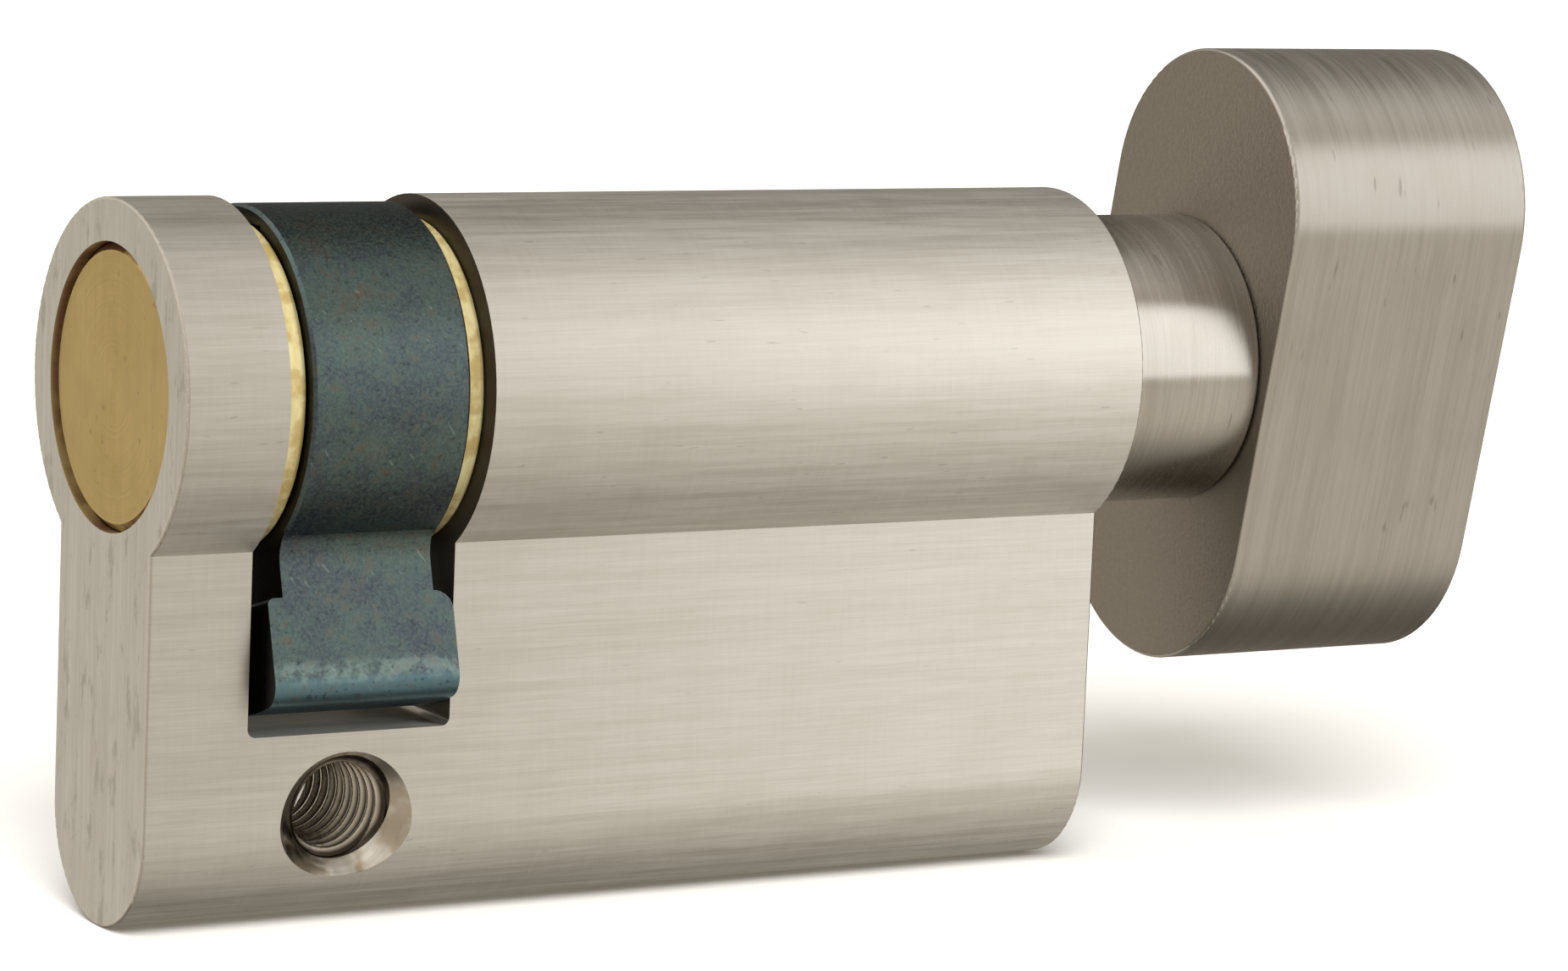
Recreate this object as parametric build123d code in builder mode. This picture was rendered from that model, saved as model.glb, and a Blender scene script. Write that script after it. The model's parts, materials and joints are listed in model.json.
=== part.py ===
"""Half euro-profile lock cylinder with a thumbturn: a 10 mm blank side and a 40 mm thumbturn side.

Millimetres. The origin is the centre of the M5 fixing-screw hole, on the mid-plane of the web.
The countersinks share the centre of the rounded foot, just below the hole.
+X runs along the cylinder axis to the thumbturn and +Z is up. The cam leans towards -Y.
"""

import os
from math import cos, radians, sin, sqrt

from build123d import *

os.makedirs("parts", exist_ok=True)

# Euro profile and body
AXIS_HEIGHT = 18.9
PROFILE_RADIUS = 8.5
WEB_WIDTH = 10.0
FOOT_DROP = 0.6
BLANK_SIDE = 10.0
TURN_SIDE = 40.0
BORE_RADIUS = 6.525
EDGE_BREAK = 0.15

# Cam slot
SLOT_WIDTH = 10.1
SLOT_DEPTH = 15.3
SLOT_CORNER_RADIUS = 0.4

# M5 fixing-screw hole with a countersink on each side
SCREW_RADIUS = 2.5
COUNTERSINK_RADIUS = 3.3
COUNTERSINK_HEIGHT = 3.3

# Brass plug and spindle journals, and the spring clips that hold them at the slot
JOURNAL_RADIUS = 6.475
PLUG_RECESS = 0.24
PLUG_FACE_RADIUS = 6.12
GROOVE_RADIUS = 5.6
CLIP_RADIUS = 7.5
CLIP_INNER_RADIUS = 5.65
CLIP_OPENING = 8.0
CLIP_EDGE = 0.25
CLIP_PLAY = 0.025
BLANK_CLIP_WIDTH = 1.25
TURN_CLIP_WIDTH = 1.0

# Cam: a barrel between the clips, and a lever with wider shoulders near its tip
CAM_PLAY = 0.03
CAM_RADIUS = 8.15
CAM_BORE_RADIUS = 6.55
CAM_CHAMFER = 0.15
LEVER_LEAN = 16.5
LEVER_THICKNESS = 5.5
LEVER_RADIUS = 15.0
LEVER_TIP_ROUND = 1.1
LEVER_ROOT_ROUND = 1.6
LEVER_ROOT_OVERLAP = 0.03
LEVER_SETBACK = 0.25
SHOULDER_RADIUS = 10.1
SHOULDER_CORNER = 0.3
SHOULDER_OVERHANG_BLANK = 0.75
SHOULDER_OVERHANG_TURN = 0.93

# Cam driver: a disc with two side lugs for the cam and a tongue at each end
DRIVER_RADIUS = 6.45
LIP_LENGTH = 1.0
DRIVER_GAP = 0.05
KEY_WIDTH = 4.0
KEY_PLAY = 0.05
LUG_RADIUS = 7.3
TONGUE_LENGTH = 10.4
TONGUE_HEIGHT = 1.4

# Spindle
JOURNAL_SETBACK = 0.2
RELIEF_RADIUS = 6.2
RELIEF_START = 11.0
RELIEF_LENGTH = 8.0
SPIGOT_RADIUS = 4.0
SPIGOT_BORE_RADIUS = 4.05
SPIGOT_IN_KNOB = 10.0
SPIGOT_FLAT = 3.2

# Friction brake: a sprung ball in a plain groove around the spindle
BALL_RADIUS = 1.5
BRAKE_POSITION = 25.0
BALL_DISTANCE = 7.4
BALL_GROOVE_RADIUS = 1.55
CHAMBER_RADIUS = 1.6
CHAMBER_PLUG_LENGTH = 4.0
CHAMBER_PLUG_PLAY = 0.01
SPRING_WIRE_RADIUS = 0.2
SPRING_RADIUS = 1.2
SPRING_TURNS = 11
SPRING_PLAY = 0.02

# Collar and thumbturn
COLLAR_RADIUS = 7.1
COLLAR_GAP = 0.1
COLLAR_EDGE = 0.2
KNOB_START = 47.8
KNOB_THICKNESS = 14.0
KNOB_WIDTH = 15.7
KNOB_CENTRES = 15.6
KNOB_TILT = 12.0
KNOB_EDGE = 0.18
GRUB_RADIUS = 2.0
GRUB_LENGTH = 4.0
GRUB_PLAY = 0.03
GRUB_SOCKET_WIDTH = 2.0
GRUB_SOCKET_DEPTH = 2.0

# Places worked out from the sizes above
blank_end = -BLANK_SIDE
slot_blank = -SLOT_WIDTH / 2
slot_turn = SLOT_WIDTH / 2
slot_floor = AXIS_HEIGHT - SLOT_DEPTH
foot_centre = -FOOT_DROP
foot_bottom = foot_centre - WEB_WIDTH / 2
blank_clip_start = slot_blank + CLIP_PLAY
cam_start = blank_clip_start + BLANK_CLIP_WIDTH + CAM_PLAY
turn_clip_start = slot_turn - CLIP_PLAY - TURN_CLIP_WIDTH
cam_end = turn_clip_start - CAM_PLAY
plug_end = cam_start + LIP_LENGTH
spindle_start = cam_end - LIP_LENGTH
driver_start = plug_end + DRIVER_GAP
driver_end = spindle_start - DRIVER_GAP
journal_end = TURN_SIDE - JOURNAL_SETBACK
collar_start = TURN_SIDE + COLLAR_GAP
key_slot_width = KEY_WIDTH + 2 * KEY_PLAY
key_slot_depth = TONGUE_HEIGHT + KEY_PLAY + DRIVER_GAP

cylinder_axis = Axis((0, 0, AXIS_HEIGHT), (1, 0, 0))
# Local x runs along the cylinder axis and local y is the distance from it
turning_plane = Plane(origin=(0, 0, AXIS_HEIGHT), x_dir=(1, 0, 0), z_dir=(0, -1, 0))
# Sections square to the axis, with local x along +Y and local y up
section_plane = Plane(origin=(0, 0, AXIS_HEIGHT), x_dir=(0, 1, 0), z_dir=(1, 0, 0))


# The body: one bar of euro profile, bored through, with the cam slot milled across it
with BuildPart() as cylinder_body:
    with BuildSketch(Plane.YZ.offset(blank_end)):
        with Locations((0, foot_centre)):
            Circle(WEB_WIDTH / 2)
            Rectangle(WEB_WIDTH, AXIS_HEIGHT - foot_centre, align=(Align.CENTER, Align.MIN))
        with Locations((0, AXIS_HEIGHT)):
            Circle(PROFILE_RADIUS)
    extrude(amount=BLANK_SIDE + TURN_SIDE)
    end_faces = cylinder_body.faces().filter_by(Axis.X)
    fillet(end_faces.edges(), EDGE_BREAK)
    with BuildSketch(section_plane.offset(blank_end)):
        Circle(BORE_RADIUS)
    extrude(amount=BLANK_SIDE + TURN_SIDE, mode=Mode.SUBTRACT)
    with BuildSketch(Plane.XZ):
        with Locations((0, slot_floor)):
            Rectangle(SLOT_WIDTH, 2 * AXIS_HEIGHT, align=(Align.CENTER, Align.MIN))
        fillet(vertices().group_by(Axis.Z)[0], SLOT_CORNER_RADIUS)
    extrude(amount=PROFILE_RADIUS + 1, both=True, mode=Mode.SUBTRACT)
    with BuildSketch(Plane.XZ):
        Circle(SCREW_RADIUS)
    extrude(amount=WEB_WIDTH / 2, both=True, mode=Mode.SUBTRACT)
    front_inward = Plane(origin=(0, -WEB_WIDTH / 2, foot_centre), z_dir=(0, 1, 0))
    rear_inward = Plane(origin=(0, WEB_WIDTH / 2, foot_centre), z_dir=(0, -1, 0))
    from_face = (Align.CENTER, Align.CENTER, Align.MIN)
    with Locations(front_inward, rear_inward):
        Cone(COUNTERSINK_RADIUS, 0, COUNTERSINK_HEIGHT, align=from_face, mode=Mode.SUBTRACT)
    with BuildSketch(Plane.XY.offset(foot_bottom)):
        with Locations((BRAKE_POSITION, 0)):
            Circle(CHAMBER_RADIUS)
    extrude(amount=AXIS_HEIGHT - foot_bottom, mode=Mode.SUBTRACT)
cylinder_body.part.label = "cylinder_body"
export_step(cylinder_body.part, "parts/cylinder_body.step")


# Short brass plug that fills the blank side's bore, with a key slot in its inner end
with BuildPart() as blank_plug:
    with BuildSketch(turning_plane):
        with BuildLine():
            face_x = blank_end + PLUG_RECESS
            Polyline(
                (face_x, 0),
                (face_x, PLUG_FACE_RADIUS),
                (face_x + JOURNAL_RADIUS - PLUG_FACE_RADIUS, JOURNAL_RADIUS),
                (blank_clip_start - CLIP_PLAY, JOURNAL_RADIUS),
                (blank_clip_start - CLIP_PLAY, GROOVE_RADIUS),
                (cam_start, GROOVE_RADIUS),
                (cam_start, JOURNAL_RADIUS),
                (plug_end, JOURNAL_RADIUS),
                (plug_end, 0),
                close=True,
            )
        make_face()
    revolve(axis=cylinder_axis)
    with BuildSketch(section_plane.offset(plug_end)):
        Rectangle(key_slot_width, 2 * PROFILE_RADIUS)
    extrude(amount=-key_slot_depth, mode=Mode.SUBTRACT)
blank_plug.part.label = "blank_plug"
export_step(blank_plug.part, "parts/blank_plug.step")


# Brass spring clip in the plug's groove, open at the rear
with BuildPart() as blank_plug_clip:
    with BuildSketch(section_plane.offset(blank_clip_start)):
        Circle(CLIP_RADIUS)
        Circle(CLIP_INNER_RADIUS, mode=Mode.SUBTRACT)
        Rectangle(CLIP_RADIUS, CLIP_OPENING, align=(Align.MIN, Align.CENTER), mode=Mode.SUBTRACT)
    extrude(amount=BLANK_CLIP_WIDTH)
    outer_face = blank_plug_clip.faces().filter_by(GeomType.CYLINDER).sort_by(SortBy.AREA)[-1]
    fillet(outer_face.edges().filter_by(GeomType.CIRCLE), CLIP_EDGE)
blank_plug_clip.part.label = "blank_plug_clip"
export_step(blank_plug_clip.part, "parts/blank_plug_clip.step")


# Brass spring clip in the spindle's groove, open at the rear
with BuildPart() as spindle_clip:
    with BuildSketch(section_plane.offset(turn_clip_start)):
        Circle(CLIP_RADIUS)
        Circle(CLIP_INNER_RADIUS, mode=Mode.SUBTRACT)
        Rectangle(CLIP_RADIUS, CLIP_OPENING, align=(Align.MIN, Align.CENTER), mode=Mode.SUBTRACT)
    extrude(amount=TURN_CLIP_WIDTH)
    outer_face = spindle_clip.faces().filter_by(GeomType.CYLINDER).sort_by(SortBy.AREA)[-1]
    fillet(outer_face.edges().filter_by(GeomType.CIRCLE), CLIP_EDGE)
spindle_clip.part.label = "spindle_clip"
export_step(spindle_clip.part, "parts/spindle_clip.step")


# Cam lever: its side section crossed with its front outline
lean = radians(LEVER_LEAN)
lever_side = Vector(0, cos(lean), -sin(lean))
lever_section = Plane(origin=(0, 0, AXIS_HEIGHT), x_dir=lever_side, z_dir=(-1, 0, 0))
lever_front = Plane(origin=(0, 0, AXIS_HEIGHT), x_dir=(1, 0, 0), z_dir=lever_side)
half = LEVER_THICKNESS / 2
tip_distance = LEVER_RADIUS - LEVER_TIP_ROUND
tip_centre = Vector(half - LEVER_TIP_ROUND, sqrt(tip_distance**2 - (half - LEVER_TIP_ROUND)**2))
tip_point = tip_centre * (LEVER_RADIUS / tip_distance)
root_distance = CAM_RADIUS + LEVER_ROOT_ROUND - LEVER_ROOT_OVERLAP
root_centre = Vector(half + LEVER_ROOT_ROUND, sqrt(root_distance**2 - (half + LEVER_ROOT_ROUND)**2))
root_point = root_centre * ((root_distance - LEVER_ROOT_ROUND) / root_distance)
with BuildPart() as cam_lever:
    with BuildSketch(lever_section):
        with BuildLine():
            RadiusArc(root_point, (half, root_centre.Y), LEVER_ROOT_ROUND)
            Line((half, root_centre.Y), (half, tip_centre.Y))
            RadiusArc((half, tip_centre.Y), tip_point, -LEVER_TIP_ROUND)
            ThreePointArc(tip_point, (0, LEVER_RADIUS), (-tip_point.X, tip_point.Y))
            RadiusArc((-tip_point.X, tip_point.Y), (-half, tip_centre.Y), -LEVER_TIP_ROUND)
            Line((-half, tip_centre.Y), (-half, root_centre.Y))
            RadiusArc((-half, root_centre.Y), (-root_point.X, root_point.Y), LEVER_ROOT_ROUND)
            Line((-root_point.X, root_point.Y), root_point)
        make_face()
    extrude(amount=SLOT_WIDTH / 2, both=True)
    with BuildSketch(lever_front):
        with BuildLine():
            lever_end = cam_end - LEVER_SETBACK
            wide_start = cam_start - SHOULDER_OVERHANG_BLANK
            wide_end = lever_end + SHOULDER_OVERHANG_TURN
            Polyline((lever_end, 0), (cam_start, 0), (cam_start, SHOULDER_RADIUS))
            Line((cam_start, SHOULDER_RADIUS), (wide_start + SHOULDER_CORNER, SHOULDER_RADIUS))
            RadiusArc(
                (wide_start + SHOULDER_CORNER, SHOULDER_RADIUS),
                (wide_start, SHOULDER_RADIUS + SHOULDER_CORNER),
                SHOULDER_CORNER,
            )
            Polyline(
                (wide_start, SHOULDER_RADIUS + SHOULDER_CORNER),
                (wide_start, LEVER_RADIUS),
                (wide_end, LEVER_RADIUS),
                (wide_end, SHOULDER_RADIUS + SHOULDER_OVERHANG_TURN),
            )
            RadiusArc(
                (wide_end, SHOULDER_RADIUS + SHOULDER_OVERHANG_TURN),
                (lever_end, SHOULDER_RADIUS),
                SHOULDER_OVERHANG_TURN,
            )
            Line((lever_end, SHOULDER_RADIUS), (lever_end, 0))
        make_face()
    extrude(amount=LEVER_THICKNESS, both=True, mode=Mode.INTERSECT)


# Cam: the barrel and its lever, with a bore and two key slots for the driver
with BuildPart() as cam:
    with BuildSketch(turning_plane):
        with BuildLine():
            Polyline(
                (cam_start, 0),
                (cam_start, CAM_RADIUS - CAM_CHAMFER),
                (cam_start + CAM_CHAMFER, CAM_RADIUS),
                (cam_end - CAM_CHAMFER, CAM_RADIUS),
                (cam_end, CAM_RADIUS - CAM_CHAMFER),
                (cam_end, 0),
                close=True,
            )
        make_face()
    revolve(axis=cylinder_axis)
    add(cam_lever.part)
    with BuildSketch(section_plane.offset(cam_start)):
        Circle(CAM_BORE_RADIUS)
        Rectangle(key_slot_width, 2 * (LUG_RADIUS + KEY_PLAY))
    extrude(amount=cam_end - cam_start, mode=Mode.SUBTRACT)
cam.part.label = "cam"
export_step(cam.part, "parts/cam.step")


# Driver: its lugs turn the cam and its tongues turn with the plug and the spindle
with BuildPart() as cam_driver:
    with BuildSketch(section_plane.offset(driver_start)):
        Circle(DRIVER_RADIUS)
        Rectangle(KEY_WIDTH, 2 * LUG_RADIUS)
    extrude(amount=driver_end - driver_start)
    with BuildSketch(section_plane.offset(driver_start - TONGUE_HEIGHT)):
        Rectangle(KEY_WIDTH, TONGUE_LENGTH)
    extrude(amount=driver_end - driver_start + 2 * TONGUE_HEIGHT)
cam_driver.part.label = "cam_driver"
export_step(cam_driver.part, "parts/cam_driver.step")


# Spindle: journal in the long side's bore, then a spigot with a flat for the thumbturn
tilt = radians(KNOB_TILT)
knob_side = Vector(0, cos(tilt), sin(tilt))
grub_plane = Plane(
    origin=(KNOB_START + KNOB_THICKNESS / 2, 0, AXIS_HEIGHT), x_dir=(1, 0, 0), z_dir=knob_side
)
with BuildPart() as turn_spindle:
    with BuildSketch(turning_plane):
        with BuildLine():
            Polyline(
                (spindle_start, 0),
                (spindle_start, JOURNAL_RADIUS),
                (cam_end, JOURNAL_RADIUS),
                (cam_end, GROOVE_RADIUS),
                (slot_turn, GROOVE_RADIUS),
                (slot_turn, JOURNAL_RADIUS),
                (RELIEF_START, JOURNAL_RADIUS),
                (RELIEF_START, RELIEF_RADIUS),
                (RELIEF_START + RELIEF_LENGTH, RELIEF_RADIUS),
                (RELIEF_START + RELIEF_LENGTH, JOURNAL_RADIUS),
                (journal_end, JOURNAL_RADIUS),
                (journal_end, SPIGOT_RADIUS),
                (KNOB_START + SPIGOT_IN_KNOB, SPIGOT_RADIUS),
                (KNOB_START + SPIGOT_IN_KNOB, 0),
                close=True,
            )
        make_face()
        with Locations((BRAKE_POSITION, BALL_DISTANCE)):
            Circle(BALL_GROOVE_RADIUS, mode=Mode.SUBTRACT)
    revolve(axis=cylinder_axis)
    with BuildSketch(section_plane.offset(spindle_start)):
        Rectangle(key_slot_width, 2 * PROFILE_RADIUS)
    extrude(amount=key_slot_depth, mode=Mode.SUBTRACT)
    with BuildSketch(grub_plane.offset(SPIGOT_FLAT)):
        Rectangle(2 * (SPIGOT_IN_KNOB - KNOB_THICKNESS / 2) + 2 * GRUB_RADIUS, 2 * SPIGOT_RADIUS)
    extrude(amount=SPIGOT_RADIUS, mode=Mode.SUBTRACT)
turn_spindle.part.label = "turn_spindle"
export_step(turn_spindle.part, "parts/turn_spindle.step")


# Steel ball of the friction brake, in the chamber under the spindle
ball_height = AXIS_HEIGHT - BALL_DISTANCE
with BuildPart() as brake_ball:
    with Locations((BRAKE_POSITION, 0, ball_height)):
        Sphere(BALL_RADIUS)
brake_ball.part.label = "brake_ball"
export_step(brake_ball.part, "parts/brake_ball.step")


# Chamber plug, flush with the rounded foot of the web
with BuildPart() as chamber_plug:
    with BuildSketch(Plane.XY.offset(foot_bottom)):
        with Locations((BRAKE_POSITION, 0)):
            Circle(CHAMBER_RADIUS - CHAMBER_PLUG_PLAY)
    extrude(amount=CHAMBER_PLUG_LENGTH)
    with BuildSketch(Plane.YZ.offset(BRAKE_POSITION)):
        with Locations((0, foot_centre)):
            Circle(WEB_WIDTH / 2)
    extrude(amount=2 * CHAMBER_RADIUS, both=True, mode=Mode.INTERSECT)
chamber_plug.part.label = "chamber_plug"
export_step(chamber_plug.part, "parts/chamber_plug.step")


# Compression spring between the chamber plug and the ball
spring_bottom = foot_bottom + CHAMBER_PLUG_LENGTH + SPRING_WIRE_RADIUS + SPRING_PLAY
spring_top = ball_height - BALL_RADIUS - SPRING_WIRE_RADIUS - SPRING_PLAY
spring_height = spring_top - spring_bottom
with BuildPart() as brake_spring:
    with BuildLine():
        coil = Helix(
            pitch=spring_height / SPRING_TURNS,
            height=spring_height,
            radius=SPRING_RADIUS,
            center=(BRAKE_POSITION, 0, spring_bottom),
        )
    with BuildSketch(Plane(origin=coil @ 0, z_dir=coil % 0)):
        Circle(SPRING_WIRE_RADIUS)
    sweep(is_frenet=True)
brake_spring.part.label = "brake_spring"
export_step(brake_spring.part, "parts/brake_spring.step")


# Collar between the body and the thumbturn
with BuildPart() as turn_collar:
    with BuildSketch(section_plane.offset(collar_start)):
        Circle(COLLAR_RADIUS)
    extrude(amount=KNOB_START - collar_start)
    fillet(turn_collar.edges().filter_by(GeomType.CIRCLE), COLLAR_EDGE)
    with BuildSketch(section_plane.offset(collar_start)):
        Circle(SPIGOT_BORE_RADIUS)
    extrude(amount=KNOB_START - collar_start, mode=Mode.SUBTRACT)
turn_collar.part.label = "turn_collar"
export_step(turn_collar.part, "parts/turn_collar.step")


# Thumbturn: an obround block with a blind bore for the spigot and a threaded hole for its screw
with BuildPart() as thumbturn_knob:
    with BuildSketch(section_plane.offset(KNOB_START)):
        SlotCenterToCenter(KNOB_CENTRES, KNOB_WIDTH, rotation=90 + KNOB_TILT)
    extrude(amount=KNOB_THICKNESS)
    fillet(thumbturn_knob.faces().filter_by(Axis.X).edges(), KNOB_EDGE)
    with BuildSketch(section_plane.offset(KNOB_START)):
        Circle(SPIGOT_BORE_RADIUS)
    extrude(amount=SPIGOT_IN_KNOB + GRUB_PLAY, mode=Mode.SUBTRACT)
    with BuildSketch(grub_plane):
        Circle(GRUB_RADIUS)
    extrude(amount=KNOB_WIDTH, mode=Mode.SUBTRACT)
thumbturn_knob.part.label = "thumbturn_knob"
export_step(thumbturn_knob.part, "parts/thumbturn_knob.step")


# Socket set screw that clamps the thumbturn on the spigot's flat, from the rear side
with BuildPart() as knob_grub_screw:
    with BuildSketch(grub_plane.offset(SPIGOT_FLAT + GRUB_PLAY)):
        Circle(GRUB_RADIUS - GRUB_PLAY)
    extrude(amount=GRUB_LENGTH)
    with BuildSketch(grub_plane.offset(SPIGOT_FLAT + GRUB_PLAY + GRUB_LENGTH)):
        RegularPolygon(GRUB_SOCKET_WIDTH / 2, 6, major_radius=False)
    extrude(amount=-GRUB_SOCKET_DEPTH, mode=Mode.SUBTRACT)
knob_grub_screw.part.label = "knob_grub_screw"
export_step(knob_grub_screw.part, "parts/knob_grub_screw.step")
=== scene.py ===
"""Looks of a half euro-profile lock cylinder with a thumbturn: brushed nickel, brass and blued steel.

Metres, in the CAD frame: the fixing-screw hole is at the origin, +X runs along the cylinder axis to
the thumbturn and +Z is up.
"""

import json
from math import cos, pi, radians, sin, sqrt

import bpy
from mathutils import Euler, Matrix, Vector


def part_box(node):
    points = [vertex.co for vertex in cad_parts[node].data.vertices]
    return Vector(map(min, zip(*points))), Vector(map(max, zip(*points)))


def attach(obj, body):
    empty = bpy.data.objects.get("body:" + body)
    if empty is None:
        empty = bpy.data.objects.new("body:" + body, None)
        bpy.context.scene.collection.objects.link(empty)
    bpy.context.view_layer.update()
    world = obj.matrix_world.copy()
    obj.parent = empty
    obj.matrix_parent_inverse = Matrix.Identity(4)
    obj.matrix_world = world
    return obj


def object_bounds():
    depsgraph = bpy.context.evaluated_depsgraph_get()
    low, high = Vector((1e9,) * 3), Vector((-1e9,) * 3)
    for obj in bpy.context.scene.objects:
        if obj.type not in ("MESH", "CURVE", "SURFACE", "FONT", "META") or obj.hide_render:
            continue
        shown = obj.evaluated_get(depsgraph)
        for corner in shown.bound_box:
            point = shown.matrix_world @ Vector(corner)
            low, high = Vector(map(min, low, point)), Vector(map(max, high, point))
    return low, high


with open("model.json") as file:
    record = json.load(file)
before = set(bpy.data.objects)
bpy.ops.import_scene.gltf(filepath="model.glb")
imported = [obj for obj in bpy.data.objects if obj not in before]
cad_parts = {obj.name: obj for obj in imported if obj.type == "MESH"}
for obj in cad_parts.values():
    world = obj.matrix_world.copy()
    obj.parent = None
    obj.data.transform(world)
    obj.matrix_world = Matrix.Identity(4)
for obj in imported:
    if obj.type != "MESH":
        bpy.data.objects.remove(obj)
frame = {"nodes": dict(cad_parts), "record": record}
cad_low, cad_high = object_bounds()

MM = 0.001
FINE = 9000.0  # cycles per metre across a brushed surface: a scratch is about 0.1 mm wide

# Sizes of the CAD model that no node's box gives
WEB_HALF = 5 * MM
COUNTERSINK_RADIUS = 3.3 * MM
SLOT_REACH = 6 * MM  # the cam slot's walls lie nearer the origin than this, the body's end faces don't
LEVER_RADIUS = 15 * MM

# Places taken from the CAD nodes
body_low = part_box("cylinder_body")[0]
plug_low, plug_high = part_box("blank_plug")
axis_point = (plug_low + plug_high) / 2
foot_centre = body_low.z + WEB_HALF


# ---------------------------------------------------------------- shader building blocks

def add(tree, kind, inputs=None, **settings):
    """Adds one shader node. An input is a socket to link or a plain value."""
    node = tree.nodes.new("ShaderNode" + kind)
    for name, value in settings.items():
        setattr(node, name, value)
    for socket, value in (inputs or {}).items():
        if isinstance(value, bpy.types.NodeSocket):
            tree.links.new(value, node.inputs[socket])
        else:
            node.inputs[socket].default_value = value
    return node


def calc(tree, operation, *values):
    return add(tree, "Math", dict(enumerate(values)), operation=operation).outputs[0]


def vector_calc(tree, operation, *values):
    return add(tree, "VectorMath", dict(enumerate(values)), operation=operation).outputs[0]


def dot(tree, a, b):
    return add(tree, "VectorMath", {0: a, 1: b}, operation="DOT_PRODUCT").outputs["Value"]


def between(tree, value, low, high, out_low=0.0, out_high=1.0):
    """Turns low..high into out_low..out_high with soft ends."""
    inputs = {0: value, 1: low, 2: high, 3: out_low, 4: out_high}
    return add(tree, "MapRange", inputs, interpolation_type="SMOOTHSTEP").outputs[0]


def ramp(tree, value, stops):
    node = add(tree, "ValToRGB", {0: value})
    elements = node.color_ramp.elements
    while len(elements) < len(stops):
        elements.new(0.5)
    for element, (place, colour) in zip(elements, stops):
        element.position = place
        element.color = (*colour, 1.0)
    return node.outputs[0]


def mix(tree, factor, a, b, blend_type="MIX"):
    """Mixes two colours or levels. The Mix node's colour sockets are 6 and 7, its colour result is 2."""
    a, b = [(v, v, v, 1.0) if isinstance(v, float) else v for v in (a, b)]
    a, b = [(*v, 1.0) if isinstance(v, tuple) and len(v) == 3 else v for v in (a, b)]
    inputs = {0: factor, 6: a, 7: b}
    return add(tree, "Mix", inputs, data_type="RGBA", blend_type=blend_type).outputs[2]


def noise(tree, vector, scale, detail=2.0, roughness=0.5, stretch=(1.0, 1.0, 1.0)):
    """Noise of 0..1 at scale cycles per metre, times stretch along each axis."""
    steps = tuple(scale * s for s in stretch)
    placed = vector_calc(tree, "MULTIPLY", vector, steps)
    inputs = {"Vector": placed, "Scale": 1.0, "Detail": detail, "Roughness": roughness}
    return add(tree, "TexNoise", inputs).outputs[0]


def start(name):
    """A new material, its node tree, and the position in the object's frame."""
    material = bpy.data.materials.new(name)
    material.use_nodes = True
    tree = material.node_tree
    tree.nodes.clear()
    return material, tree, add(tree, "TexCoord").outputs["Object"]


def split(tree, vector):
    return add(tree, "SeparateXYZ", {0: vector}).outputs


def facing(tree, axis):
    """How squarely the surface faces along axis 0, 1 or 2, either way: 0 to 1."""
    normal = add(tree, "TexCoord").outputs["Normal"]
    return calc(tree, "ABSOLUTE", split(tree, normal)[axis])


def metal(tree, colour, roughness, height, depth, anisotropy=0.0, tangent=None, metallic=1.0):
    """Ends a material with a metallic Principled shader. depth is the bump's height in metres."""
    bump = add(tree, "Bump", {"Strength": 1.0, "Distance": depth, "Height": height})
    inputs = {"Metallic": metallic, "Base Color": colour, "Roughness": roughness, "Normal": bump.outputs[0]}
    if tangent is not None:
        inputs["Anisotropic"] = anisotropy
        inputs["Tangent"] = tangent
    shader = add(tree, "BsdfPrincipled", inputs)
    add(tree, "OutputMaterial", {0: shader.outputs[0]})


# ---------------------------------------------------------------- materials

NICKEL_LIGHT = (0.80, 0.785, 0.75)
NICKEL_DARK = (0.65, 0.63, 0.585)
TURN_LIGHT = (0.63, 0.61, 0.575)
TURN_DARK = (0.50, 0.48, 0.445)
GRIME = (0.16, 0.135, 0.11)


def lay(tree, place, stretch):
    """Brushed grain of three widths. stretch is short along the brushing."""
    fine = noise(tree, place, FINE, 2.0, 0.6, stretch)
    middle = noise(tree, place, FINE / 3, 2.0, 0.5, stretch)
    wide = noise(tree, place, FINE / 9, 1.0, 0.5, stretch)
    total = calc(tree, "MULTIPLY", fine, 0.40)
    total = calc(tree, "MULTIPLY_ADD", middle, 0.35, total)
    return calc(tree, "MULTIPLY_ADD", wide, 0.25, total)


def specks(tree, place, scale, stretch, low, high):
    """Sparse marks: the peaks of a noise."""
    return between(tree, noise(tree, place, scale, 1.0, 0.5, stretch), low, high)


def inside(tree, value, low, high, soft):
    """1 between low and high, 0 outside, with edges of the given softness."""
    rise = between(tree, value, low - soft, low)
    fall = between(tree, value, high, high + soft, 1.0, 0.0)
    return calc(tree, "MULTIPLY", rise, fall)


def length_of(tree, vector, weights):
    """Length of a vector after weighting its axes."""
    weighted = vector_calc(tree, "MULTIPLY", vector, weights)
    return add(tree, "VectorMath", {0: weighted}, operation="LENGTH").outputs["Value"]


def along_x(tree):
    """Tangent that spreads a reflection along the cylinder axis."""
    return add(tree, "CombineXYZ", {0: 1.0, 1: 0.0, 2: 0.02}).outputs[0]


def across_x(tree):
    """Tangent that spreads a reflection square to the cylinder axis."""
    normal = add(tree, "NewGeometry").outputs["Normal"]
    return vector_calc(tree, "CROSS_PRODUCT", normal, along_x(tree))


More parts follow.
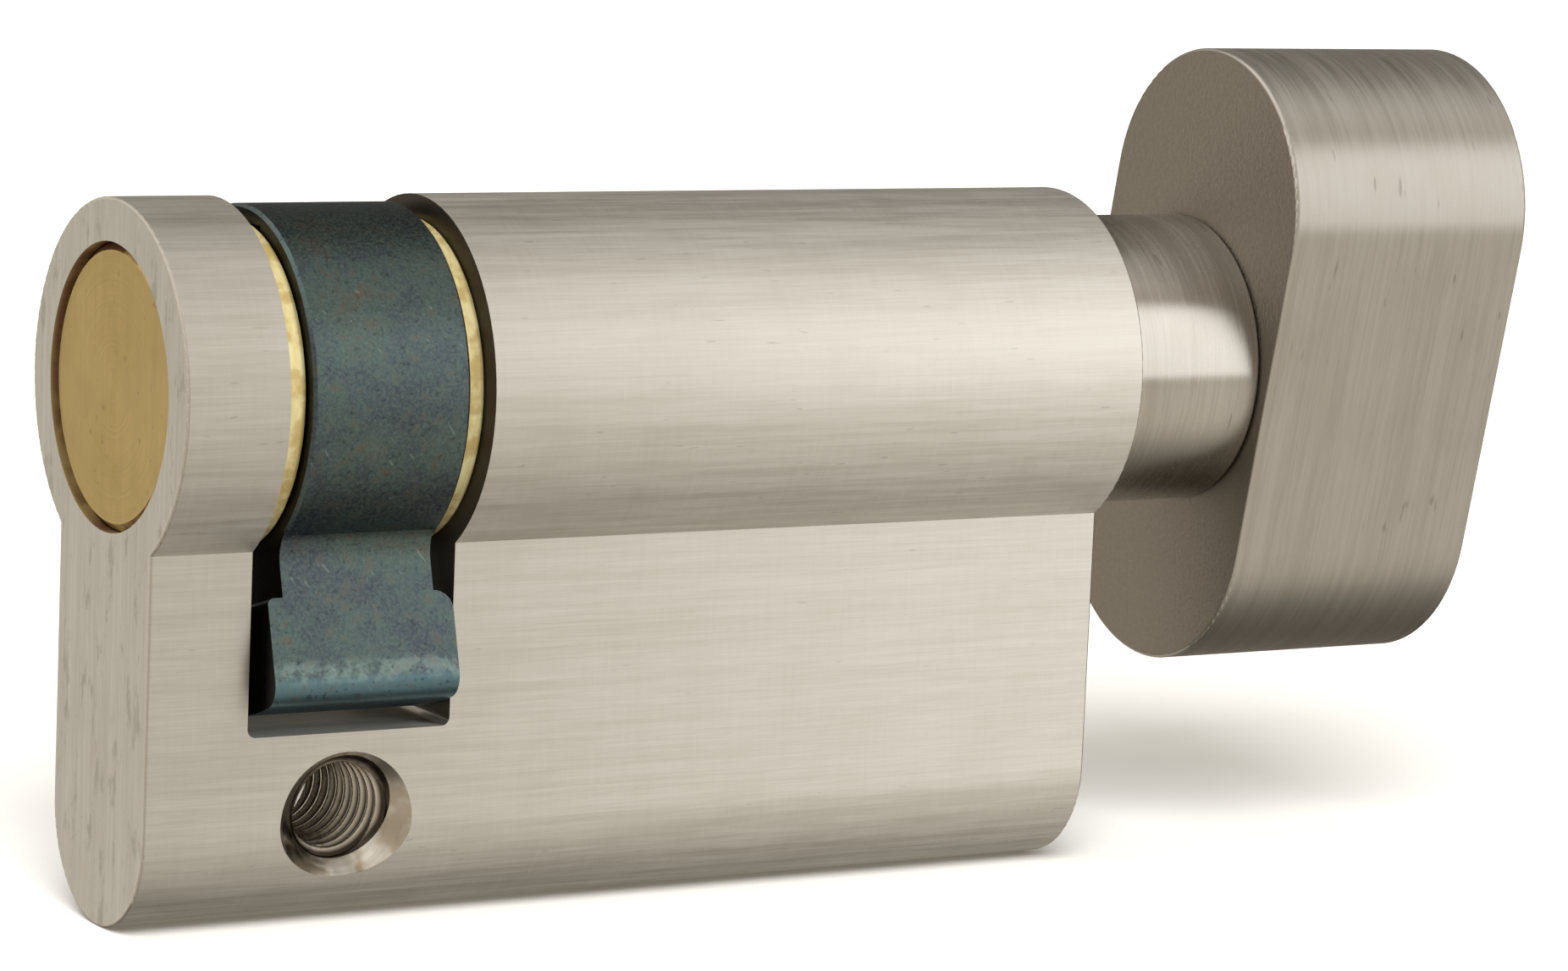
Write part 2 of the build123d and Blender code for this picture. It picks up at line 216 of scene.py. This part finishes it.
def brushed_body():
    """Satin nickel brushed along the cylinder, upright brushing on the ends, a polished countersink. The cam
    slot's walls carry a painted shade, and the countersink's cone a painted shade and amber reflection
    towards +X.
    """
    material, tree, place = start("satin_nickel_body")
    far_x = calc(tree, "ABSOLUTE", split(tree, place)[0])
    on_end = between(tree, facing(tree, 0), 0.9, 0.97)
    on_edge = inside(tree, facing(tree, 0), 0.4, 0.85, 0.05)
    # The cam slot's walls, which get a painted shade below
    slot_wall_painted_shade = calc(tree, "MULTIPLY", on_end, between(tree, far_x, SLOT_REACH, SLOT_REACH + MM, 1.0, 0.0))

    # The countersink is where |y| grows by as much as the distance from its axis
    from_centre = vector_calc(tree, "SUBTRACT", place, (0.0, 0.0, foot_centre))
    distance = length_of(tree, from_centre, (1.0, 0.0, 1.0))
    far_y = calc(tree, "ABSOLUTE", split(tree, place)[1])
    off_cone = calc(tree, "SUBTRACT", calc(tree, "SUBTRACT", far_y, distance), WEB_HALF - COUNTERSINK_RADIUS)
    in_cone = between(tree, calc(tree, "ABSOLUTE", off_cone), 0.02 * MM, 0.04 * MM, 1.0, 0.0)
    near_hole = between(tree, distance, 1.1 * COUNTERSINK_RADIUS, 1.2 * COUNTERSINK_RADIUS, 1.0, 0.0)
    in_cone = calc(tree, "MULTIPLY", in_cone, near_hole)
    off_web = between(tree, facing(tree, 1), 0.85, 0.95, 1.0, 0.0)
    in_cone = calc(tree, "MULTIPLY", in_cone, off_web)

    grain = mix(tree, on_end, lay(tree, place, (0.03, 1.0, 1.0)), lay(tree, place, (1.0, 1.0, 0.03)))
    cross = noise(tree, place, FINE / 2, 2.0, 0.5, (1.0, 0.05, 0.05))
    grain = calc(tree, "MULTIPLY_ADD", cross, 0.08, calc(tree, "MULTIPLY", grain, 0.92))
    cloud = noise(tree, place, 260.0, 3.0, 0.6)
    pits = specks(tree, place, 5200.0, (0.16, 1.0, 1.0), 0.73, 0.79)
    rub = noise(tree, place, 900.0, 4.0, 0.7, (1.0, 1.0, 0.35))
    smudge = calc(tree, "MULTIPLY", between(tree, rub, 0.54, 0.66), on_end)

    colour = mix(tree, between(tree, grain, 0.32, 0.68), NICKEL_DARK, NICKEL_LIGHT)
    colour = mix(tree, between(tree, cloud, 0.40, 0.75, 0.0, 0.10), colour, (0.50, 0.45, 0.37))
    colour = mix(tree, calc(tree, "MULTIPLY", pits, 0.20), colour, GRIME)
    colour = mix(tree, calc(tree, "MULTIPLY", smudge, 0.26), colour, GRIME)
    # Painted shade: the end faces inside the cam slot are painted near black for the shadow in the gaps
    # round the cam and its clips
    colour = mix(tree, slot_wall_painted_shade, colour, (0.10, 0.088, 0.076))
    # Painted shade and painted reflection: the countersink's cone turns darker and amber towards +X, with a
    # noisy border
    stain_and_painted_shade = calc(tree, "MULTIPLY_ADD", split(tree, place)[0], 0.05 / MM, noise(tree, place, 700.0, 2.0, 0.5))
    cone_painted_shade = between(tree, stain_and_painted_shade, 0.50, 0.66)
    colour = mix(tree, in_cone, colour, mix(tree, cone_painted_shade, (0.78, 0.75, 0.70), (0.42, 0.33, 0.22)))
    colour = mix(tree, calc(tree, "MULTIPLY", on_edge, 0.6), colour, (0.52, 0.48, 0.42))
    roughness = between(tree, grain, 0.3, 0.7, 0.40, 0.48)
    turned = noise(tree, place, 5000.0, 1.0, 0.5, (0.02, 1.0, 0.02))
    roughness = mix(tree, in_cone, roughness, between(tree, turned, 0.3, 0.7, 0.16, 0.26))
    height = mix(tree, in_cone, grain, calc(tree, "MULTIPLY", turned, 0.6))
    metal(tree, colour, roughness, height, 6e-6, 0.85, across_x(tree))
    return material


def brushed_round(name, rough, depth):
    """Nickel brushed round its outline, with matt end faces."""
    material, tree, place = start(name)
    on_end = between(tree, facing(tree, 0), 0.9, 0.97)
    grain = lay(tree, place, (1.0, 0.03, 0.03))
    fine = noise(tree, place, FINE / 2, 3.0, 0.6)
    smooth = noise(tree, place, 300.0, 3.0, 0.6)
    marks = specks(tree, place, 2600.0, (1.0, 0.2, 0.2), 0.72, 0.80)

    colour = mix(tree, between(tree, grain, 0.32, 0.68), TURN_DARK, TURN_LIGHT)
    colour = mix(tree, between(tree, smooth, 0.40, 0.75, 0.0, 0.12), colour, (0.42, 0.375, 0.31))
    colour = mix(tree, calc(tree, "MULTIPLY", marks, 0.35), colour, GRIME)
    end_colour = mix(tree, fine, (0.27, 0.24, 0.205), (0.36, 0.325, 0.285))
    colour = mix(tree, on_end, colour, end_colour)
    roughness = mix(tree, on_end, between(tree, grain, 0.3, 0.7, *rough), 0.5)
    height = mix(tree, on_end, grain, calc(tree, "MULTIPLY", fine, 0.5))
    metal(tree, colour, roughness, height, depth, 0.85, along_x(tree))
    return material


def turned_brass():
    """Brass with fine turned rings on its end faces, and patches of painted dark-brown shade on its other
    faces for the gap round the plug.
    """
    material, tree, place = start("turned_brass")
    arm = vector_calc(tree, "SUBTRACT", place, tuple(axis_point))
    radius = length_of(tree, arm, (0.0, 1.0, 1.0))
    on_end = between(tree, facing(tree, 0), 0.9, 0.97)
    ring_inputs = {"W": calc(tree, "MULTIPLY", radius, 7000.0), "Scale": 1.0, "Detail": 2.0}
    rings = add(tree, "TexNoise", ring_inputs, noise_dimensions="1D").outputs[0]
    upright = noise(tree, place, FINE / 3, 2.0, 0.5, (1.0, 1.0, 0.06))
    grain = calc(tree, "MULTIPLY_ADD", upright, 0.5, calc(tree, "MULTIPLY", rings, 0.5))
    cloud = noise(tree, place, 500.0, 3.0, 0.6)
    marks = specks(tree, place, 2200.0, (1.0, 1.0, 1.0), 0.70, 0.78)

    colour = mix(tree, between(tree, grain, 0.3, 0.7), (0.56, 0.415, 0.165), (0.64, 0.485, 0.205))
    colour = mix(tree, between(tree, cloud, 0.42, 0.75, 0.0, 0.3), colour, (0.46, 0.33, 0.13))
    colour = mix(tree, calc(tree, "MULTIPLY", marks, 0.3), colour, (0.20, 0.13, 0.06))
    # Painted shade: the faces other than the ends turn dark brown in patches, for the narrow gap round the
    # plug
    gap_painted_shade = calc(tree, "MULTIPLY", calc(tree, "SUBTRACT", 1.0, on_end), between(tree, cloud, 0.35, 0.6))
    colour = mix(tree, gap_painted_shade, colour, (0.22, 0.10, 0.045))
    roughness = between(tree, grain, 0.3, 0.7, 0.36, 0.48)
    position = add(tree, "NewGeometry").outputs["Position"]
    outward = vector_calc(tree, "SUBTRACT", position, tuple(axis_point))
    tangent = vector_calc(tree, "CROSS_PRODUCT", (1.0, 0.0, 0.0), outward)
    metal(tree, colour, roughness, grain, 2e-6, 0.5, tangent)
    return material


def worn_brass():
    """Bright rolled brass with amber stains."""
    material, tree, place = start("worn_brass")
    grain = noise(tree, place, 4000.0, 3.0, 0.6, (1.0, 0.15, 0.15))
    stain_and_painted_shade = noise(tree, place, 700.0, 3.0, 0.6)
    colour = mix(tree, between(tree, grain, 0.3, 0.7), (0.72, 0.60, 0.28), (0.86, 0.78, 0.44))
    colour = mix(tree, between(tree, stain_and_painted_shade, 0.44, 0.60, 0.0, 0.65), colour, (0.50, 0.34, 0.10))
    metal(tree, colour, between(tree, grain, 0.3, 0.7, 0.42, 0.58), grain, 8e-6, metallic=0.55)
    return material


def blued_steel():
    """Blued steel: teal to navy in clouds, a fine mottle, pale scratches and brown rubs, a painted highlight
    on the lever's rounded tip and painted near-black shade on the end faces.
    """
    material, tree, place = start("blued_steel")
    on_end = between(tree, facing(tree, 0), 0.85, 0.97)
    mottle = noise(tree, place, 6500.0, 3.0, 0.65)
    patch = noise(tree, place, 1500.0, 3.0, 0.6)
    cloud = noise(tree, place, 260.0, 2.0, 0.5)
    hue = calc(tree, "MULTIPLY_ADD", patch, 0.35, calc(tree, "MULTIPLY", cloud, 0.65))
    colour = ramp(tree, hue, [
        (0.38, (0.074, 0.088, 0.116)),
        (0.47, (0.084, 0.112, 0.132)),
        (0.54, (0.096, 0.142, 0.142)),
        (0.64, (0.122, 0.132, 0.122)),
    ])
    colour = mix(tree, between(tree, mottle, 0.36, 0.68, 0.0, 0.5), colour, (0.185, 0.245, 0.228))
    radius = length_of(tree, vector_calc(tree, "SUBTRACT", place, tuple(axis_point)), (0.0, 1.0, 1.0))
    # Painted highlight: the lever's rounded tip is painted a lighter cyan for the light its edge catches,
    # with lighter patches just inside it
    lever_tip_painted_highlight = between(tree, radius, LEVER_RADIUS - 1.1 * MM, LEVER_RADIUS - 0.7 * MM)
    colour = mix(tree, calc(tree, "MULTIPLY", lever_tip_painted_highlight, 0.75), colour, (0.145, 0.265, 0.33))
    painted_highlight_patches = inside(tree, radius, LEVER_RADIUS - 1.4 * MM, LEVER_RADIUS - 0.9 * MM, 0.5 * MM)
    painted_highlight_patches = calc(tree, "MULTIPLY", painted_highlight_patches, between(tree, patch, 0.38, 0.62))
    colour = mix(tree, calc(tree, "MULTIPLY", painted_highlight_patches, 0.5), colour, (0.30, 0.42, 0.42))
    dark_spots = specks(tree, place, 3800.0, (1.0, 1.0, 1.0), 0.62, 0.74)
    colour = mix(tree, calc(tree, "MULTIPLY", dark_spots, 0.5), colour, (0.04, 0.045, 0.055))
    rub = specks(tree, place, 1500.0, (1.0, 1.0, 1.0), 0.58, 0.72)
    colour = mix(tree, calc(tree, "MULTIPLY", rub, 0.32), colour, (0.17, 0.135, 0.115))
    turn = add(tree, "VectorRotate", {"Vector": place, "Angle": 0.6}, rotation_type="Y_AXIS").outputs[0]
    scratch = specks(tree, turn, 4200.0, (1.0, 1.0, 0.05), 0.72, 0.77)
    colour = mix(tree, calc(tree, "MULTIPLY", scratch, 0.28), colour, (0.40, 0.48, 0.46))
    # Painted shade: the cam's end faces are painted near black for the shadow between the cam, its clips and
    # the body
    colour = mix(tree, on_end, colour, (0.020, 0.020, 0.022))
    roughness = between(tree, mottle, 0.3, 0.7, 0.32, 0.46)
    metal(tree, colour, roughness, mottle, 5e-6)
    return material


def plain_steel(name, light, dark, rough):
    """Ground or turned steel with a fine grain and faint clouds."""
    material, tree, place = start(name)
    grain = noise(tree, place, FINE / 3, 4.0, 0.6)
    cloud = noise(tree, place, 600.0, 2.0, 0.5)
    colour = mix(tree, between(tree, grain, 0.3, 0.7), dark, light)
    colour = mix(tree, between(tree, cloud, 0.45, 0.75, 0.0, 0.3), colour, dark)
    metal(tree, colour, between(tree, grain, 0.3, 0.7, *rough), grain, 2e-6)
    return material


def cut_thread():
    """Cut thread: bright crests and valleys painted near black, a painted shade."""
    material, tree, place = start("cut_thread")
    grain = noise(tree, place, FINE / 3, 3.0, 0.6)
    # Painted shade: the thread's valleys, beyond the crest radius, are painted near black
    valley_painted_shade = between(tree, length_of(tree, place, (1.0, 0.0, 1.0)), 2.11 * MM, 2.34 * MM)
    colour = mix(tree, grain, (0.52, 0.46, 0.39), (0.80, 0.75, 0.67))
    colour = mix(tree, valley_painted_shade, colour, (0.06, 0.048, 0.038))
    metal(tree, colour, between(tree, grain, 0.3, 0.7, 0.20, 0.34), grain, 2e-6)
    return material


# ---------------------------------------------------------------- thread of the fixing hole

THREAD_PITCH = 0.8 * MM
THREAD_DEPTH = 0.41 * MM
THREAD_FLAT = 1 / 7  # share of the pitch that is flat at the crest, and again in the valley
THREAD_AROUND = 128
THREAD_ROWS = 200
WALL_GAP = 0.01 * MM


def cone_edge(turn, depth):
    """Distance from the hole's axis to the countersink's cone. The cone's axis lies at the foot's centre."""
    angle = 2 * pi * turn
    cone = COUNTERSINK_RADIUS - (WEB_HALF - abs(depth))
    inner = max(0.0, cone**2 - (foot_centre * cos(angle))**2)
    return foot_centre * sin(angle) + sqrt(inner)


def thread_end(turn, wall):
    """Depth at which the hole's wall meets the cone."""
    angle = 2 * pi * turn
    away = Vector((wall * cos(angle), wall * sin(angle) - foot_centre)).length
    return WEB_HALF - COUNTERSINK_RADIUS + away


def thread_radius(turn, depth, wall):
    """Radius of the threaded surface. It has a ridge each pitch and follows the countersink's cone."""
    phase = (depth / THREAD_PITCH - turn) % 1.0
    slope = (1.0 - THREAD_FLAT - abs(2.0 * phase - 1.0)) / (1.0 - 2.0 * THREAD_FLAT)
    ridge = min(1.0, max(0.0, slope))
    threaded = wall - WALL_GAP - THREAD_DEPTH * ridge
    return max(threaded, min(cone_edge(turn, depth), wall - WALL_GAP))


def make_thread():
    """A threaded sleeve that lines the fixing hole, from countersink to countersink."""
    mount = next(m for m in frame["record"]["mounts"] if m["name"] == "fixing_screw")
    wall = mount["dims"]["r_mm"] * MM
    turns = [step / THREAD_AROUND for step in range(THREAD_AROUND)]
    loops = []
    for row in range(THREAD_ROWS + 1):
        depths = [thread_end(turn, wall) * (2 * row / THREAD_ROWS - 1) for turn in turns]
        loops.append([(turn, depth, thread_radius(turn, depth, wall)) for turn, depth in zip(turns, depths)])
    for side in (1, -1):
        loops.append([(turn, side * thread_end(turn, wall), wall) for turn in turns])
    points = []
    for loop in loops:
        points += [(r * cos(2 * pi * turn), depth, r * sin(2 * pi * turn)) for turn, depth, r in loop]
    faces = []
    for row in range(len(loops)):
        here = row * THREAD_AROUND
        above = (row + 1) % len(loops) * THREAD_AROUND
        for step in range(THREAD_AROUND):
            beside = (step + 1) % THREAD_AROUND
            faces.append((here + step, above + step, above + beside, here + beside))
    mesh = bpy.data.meshes.new("fixing_hole_thread")
    mesh.from_pydata(points, [], faces)
    mesh.polygons.foreach_set("use_smooth", [True] * len(faces))
    thread = bpy.data.objects.new("fixing_hole_thread", mesh)
    bpy.context.scene.collection.objects.link(thread)
    mesh.materials.append(cut_thread())
    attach(thread, "housing")


# ---------------------------------------------------------------- stage

CAMERA_PLACE = (-0.10677, -0.22050, 0.05007)
CAMERA_TURN = (81.825, -2.424, -30.564)  # degrees
CAMERA_LENS = 124.224  # mm, on a 36 mm sensor
SOFTBOX_SIZE = (0.26, 0.33)
FLOOR_HALF = 2.0
FLOOR_GAP = 0.02 * MM


def make_camera():
    data = bpy.data.cameras.new("camera")
    data.lens = CAMERA_LENS
    data.sensor_width = 36.0
    data.clip_start = 0.01
    camera = bpy.data.objects.new("camera", data)
    camera.location = CAMERA_PLACE
    camera.rotation_euler = Euler([radians(a) for a in CAMERA_TURN])
    bpy.context.scene.collection.objects.link(camera)
    bpy.context.scene.camera = camera


def direction_of(azimuth, elevation):
    """The direction at two angles in degrees. Azimuth 0 is -Y and 90 is +X."""
    a, e = radians(azimuth), radians(elevation)
    return Vector((sin(a) * cos(e), -cos(a) * cos(e), sin(e)))


def softbox(name, azimuth, elevation, distance, size, radiance):
    """A rectangular area light that faces the middle of the object."""
    middle = (cad_low + cad_high) / 2
    away = direction_of(azimuth, elevation)
    data = bpy.data.lights.new(name, "AREA")
    data.shape = "RECTANGLE"
    data.size, data.size_y = size
    data.energy = radiance * pi * size[0] * size[1]
    light = bpy.data.objects.new(name, data)
    light.location = middle + away * distance
    light.rotation_euler = away.to_track_quat("Z", "Y").to_euler()
    light.visible_camera = False
    bpy.context.scene.collection.objects.link(light)


def make_world():
    """White for the camera. For reflections, a warm grey studio, darker below and beyond the knob."""
    world = bpy.data.worlds.new("studio")
    world.use_nodes = True
    tree = world.node_tree
    tree.nodes.clear()
    direction = add(tree, "TexCoord").outputs["Generated"]
    height = split(tree, direction)[2]
    level = ramp(tree, calc(tree, "MULTIPLY_ADD", height, 0.5, 0.5), [
        (0.00, (0.08, 0.069, 0.056)),
        (0.06, (0.13, 0.114, 0.093)),
        (0.12, (0.48, 0.437, 0.364)),
        (0.20, (0.70, 0.640, 0.540)),
        (0.36, (0.70, 0.645, 0.548)),
        (0.50, (0.57, 0.522, 0.440)),
        (0.85, (0.58, 0.525, 0.440)),
        (1.00, (0.54, 0.490, 0.410)),
    ])
    towards_knob = dot(tree, direction, (0.707, 0.707, 0.0))
    shade = between(tree, towards_knob, 0.30, 0.85, 1.0, 0.20)
    level = mix(tree, 1.0, level, shade, "MULTIPLY")
    above_knob = dot(tree, direction, (0.58, 0.36, 0.73))
    shade = between(tree, above_knob, 0.86, 0.99, 1.0, 0.30)
    level = mix(tree, 1.0, level, shade, "MULTIPLY")
    # Soft glows: direction, cosine of the angle at the rim and where full, strength
    glows = [
        ((-0.40, 0.87, 0.29), 0.55, 1.00, 0.08),
        ((-0.57, 0.05, 0.82), 0.70, 0.92, 0.75),
        ((0.43, -0.21, 0.88), 0.92, 0.985, 0.24),
    ]
    for aim, rim, full, strength in glows:
        glow = between(tree, dot(tree, direction, aim), rim, full, 0.0, strength)
        level = mix(tree, 1.0, level, glow, "ADD")
    seen = add(tree, "LightPath").outputs["Is Camera Ray"]
    colour = mix(tree, seen, level, (1.0, 1.0, 1.0))
    shader = add(tree, "Background", {0: colour, 1: 1.0})
    add(tree, "OutputWorld", {0: shader.outputs[0]})
    bpy.context.scene.world = world


def make_floor():
    """A plain pale floor just under the object. The metal doesn't reflect it."""
    mesh = bpy.data.meshes.new("floor")
    z = cad_low.z - FLOOR_GAP
    corners = [(-1, -1), (1, -1), (1, 1), (-1, 1)]
    mesh.from_pydata([(x * FLOOR_HALF, y * FLOOR_HALF, z) for x, y in corners], [], [(0, 1, 2, 3)])
    floor_object = bpy.data.objects.new("floor", mesh)
    bpy.context.scene.collection.objects.link(floor_object)
    material, tree = start("pale_floor")[:2]
    diffuse = add(tree, "BsdfDiffuse", {0: (0.85, 0.85, 0.84, 1.0)})
    add(tree, "OutputMaterial", {0: diffuse.outputs[0]})
    mesh.materials.append(material)
    floor_object.visible_glossy = False


def make_floor_light():
    """A soft sun from behind the camera that brightens the floor. The metal doesn't reflect it."""
    data = bpy.data.lights.new("floor_light", "SUN")
    data.energy = 3.6
    data.angle = radians(35)
    light = bpy.data.objects.new("floor_light", data)
    light.rotation_euler = direction_of(-26, 42).to_track_quat("Z", "Y").to_euler()
    light.visible_glossy = False
    bpy.context.scene.collection.objects.link(light)


bpy.context.scene.view_settings.view_transform = "Standard"
make_camera()
make_world()
make_floor()
make_thread()
make_floor_light()
softbox("front_right_softbox", 45, 16, 0.40, SOFTBOX_SIZE, 1.34)

nickel_body = brushed_body()
nickel_turn = brushed_round("satin_nickel_turn", (0.36, 0.44), 5e-6)
nickel_collar = brushed_round("satin_nickel_collar", (0.24, 0.30), 3e-6)
plug_brass = turned_brass()
clip_brass = worn_brass()
steel = plain_steel("hard_steel", (0.45, 0.44, 0.42), (0.33, 0.32, 0.31), (0.20, 0.35))
dark_steel = plain_steel("dark_steel", (0.12, 0.115, 0.11), (0.06, 0.058, 0.055), (0.35, 0.50))

FINISH = {
    "cylinder_body": nickel_body,
    "chamber_plug": nickel_body,
    "turn_collar": nickel_collar,
    "thumbturn_knob": nickel_turn,
    "blank_plug": plug_brass,
    "turn_spindle": plug_brass,
    "blank_plug_clip": clip_brass,
    "spindle_clip": clip_brass,
    "cam": blued_steel(),
    "cam_driver": steel,
    "brake_ball": steel,
    "brake_spring": steel,
    "knob_grub_screw": dark_steel,
}
for name, material in FINISH.items():
    mesh = frame["nodes"][name].data
    mesh.materials.clear()
    mesh.materials.append(material)
